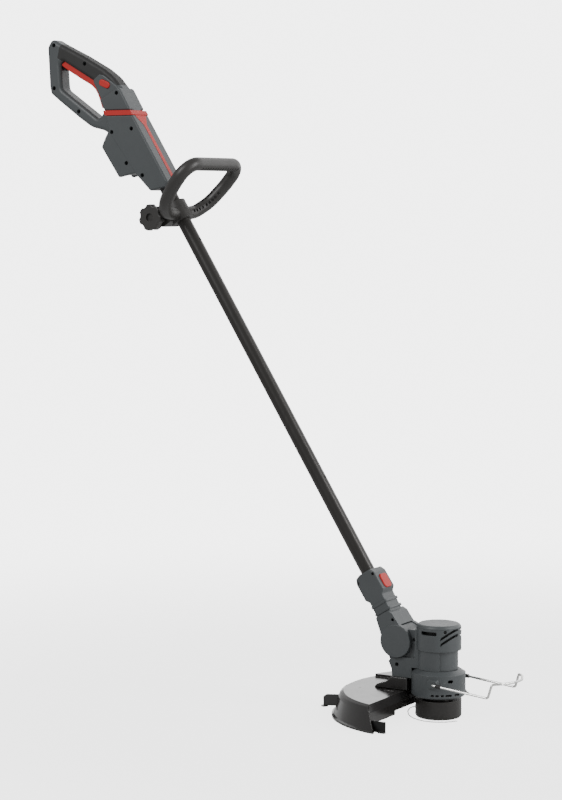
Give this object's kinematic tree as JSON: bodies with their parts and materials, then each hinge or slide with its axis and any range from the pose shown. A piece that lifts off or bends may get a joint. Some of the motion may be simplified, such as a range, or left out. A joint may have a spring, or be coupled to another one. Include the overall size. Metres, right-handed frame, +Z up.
{
  "type": "string trimmer",
  "caption": "Cordless string trimmer: D-handle housing, straight leaning shaft, clamped front loop handle, tilting motor head, line spool, half-round guard and folding wire plant guard.",
  "frame": {"origin": "centre of the underside of the line spool, on the spool axis", "axes": "+Z up along the spool axis, +X forward from the operator to the head, +Y to the operator's left"},
  "size_m": [0.9676, 0.3632, 1.1815],
  "materials": {
    "housing_grey": "fine matt grain, slight sheen on the front facets",
    "trim_red": "smooth satin red moulding",
    "soft_black": "matt soft-touch skin",
    "tube_black": "dark coated aluminium tube, satin",
    "handle_black": "glass-filled nylon, fine grain",
    "guard_black": "glossy black moulding",
    "spool_black": "satin black moulding",
    "steel": "bare steel",
    "wire_steel": "bright drawn wire",
    "blade_steel": "blackened steel",
    "line_nylon": "clear white nylon line",
    "motor_metal": "plated steel",
    "copper_part": "copper and plated contacts",
    "board_green": "circuit board",
    "cable_black": "cable sheath"
  },
  "bodies": {
    "shaft": {"shaft_tube": "tube_black", "rear_shell_left": "housing_grey", "rear_shell_right": "housing_grey", "soft_grip": "soft_black", "red_band": "trim_red", "red_stripe": "trim_red", "trigger_pin": "steel", "trigger_switch": "spool_black", "trigger_spring": "steel", "controller_board": "board_green", "battery_rails": "handle_black", "battery_terminals": "copper_part", "power_cable": "cable_black", "housing_screws": "steel"},
    "trigger": {"trigger": "trim_red"},
    "lock_off": {"lock_off_bolt": "trim_red"},
    "front_handle": {"front_handle": "handle_black", "clamp_washer": "steel", "clamp_bolt": "steel"},
    "clamp_knob": {"star_knob": "handle_black"},
    "neck": {"neck_shell_left": "housing_grey", "neck_shell_right": "housing_grey", "neck_screws": "steel", "button_spring": "steel", "pivot_pin": "steel"},
    "release_button": {"release_button": "trim_red"},
    "head": {"head_shell_left": "housing_grey", "head_shell_right": "housing_grey", "head_screws": "steel", "motor_cap": "housing_grey", "deck_ring": "housing_grey", "bottom_plate": "spool_black", "motor_can": "motor_metal", "motor_magnets": "motor_metal", "motor_bearings": "steel", "motor_mount": "motor_metal", "guard": "guard_black", "guard_bracket": "guard_black", "guard_screws": "steel", "line_cutter": "blade_steel", "guard_tab": "guard_black"},
    "spool": {"spindle": "steel", "motor_rotor": "copper_part", "cooling_fan": "spool_black", "spool_cap": "spool_black", "spool_base": "spool_black", "spool_nut": "steel", "line_eyelet": "steel", "cutting_line": "line_nylon"},
    "reel": {"line_reel": "spool_black", "wound_line": "line_nylon"},
    "plant_guard": {"plant_guard_wire": "wire_steel", "wire_sleeves": "soft_black"}
  },
  "joints": [
    {"name": "trigger_pull", "type": "hinge", "parent": "shaft", "child": "trigger", "pos_m": [-0.76809, 0, 1.14224], "axis": [0, -1, 0], "range_deg": [0, 4], "stiffness_Nm_per_rad": 1.5, "springref_deg": -6.88},
    {"name": "lock_off_push", "type": "slide", "parent": "shaft", "child": "lock_off", "axis": [0, 1, 0], "range_m": [-0.002, 0.002], "stiffness_N_per_m": 400},
    {"name": "handle_slide", "type": "slide", "parent": "shaft", "child": "front_handle", "axis": [-0.5324, 0, 0.8465], "range_m": [-0.15, 0.01]},
    {"name": "knob_turn", "type": "hinge", "parent": "front_handle", "child": "clamp_knob", "pos_m": [-0.56777, 0, 0.85476], "axis": [0, 1, 0], "range_deg": [0, 360]},
    {"name": "neck_swivel", "type": "hinge", "parent": "shaft", "child": "neck", "pos_m": [-0.12413, 0, 0.21707], "axis": [-0.5324, 0, 0.8465], "range_deg": [0, 180]},
    {"name": "button_press", "type": "slide", "parent": "neck", "child": "release_button", "axis": [-0.8465, 0, -0.5324], "range_m": [0, 0.0024], "stiffness_N_per_m": 900, "springref_m": -0.001},
    {"name": "head_tilt", "type": "hinge", "parent": "neck", "child": "head", "pos_m": [-0.0696, 0, 0.1285], "axis": [0, 1, 0], "range_deg": [-20, 40]},
    {"name": "spool_spin", "type": "hinge", "parent": "head", "child": "spool", "pos_m": [0, 0, 0.017], "axis": [0, 0, 1], "continuous": true},
    {"name": "reel_feed", "type": "hinge", "parent": "spool", "child": "reel", "pos_m": [0, 0, 0.017], "axis": [0, 0, 1], "continuous": true},
    {"name": "plant_guard_fold", "type": "hinge", "parent": "head", "child": "plant_guard", "pos_m": [0.014, 0, 0.065], "axis": [0, -1, 0], "range_deg": [0, 95]}
  ]
}
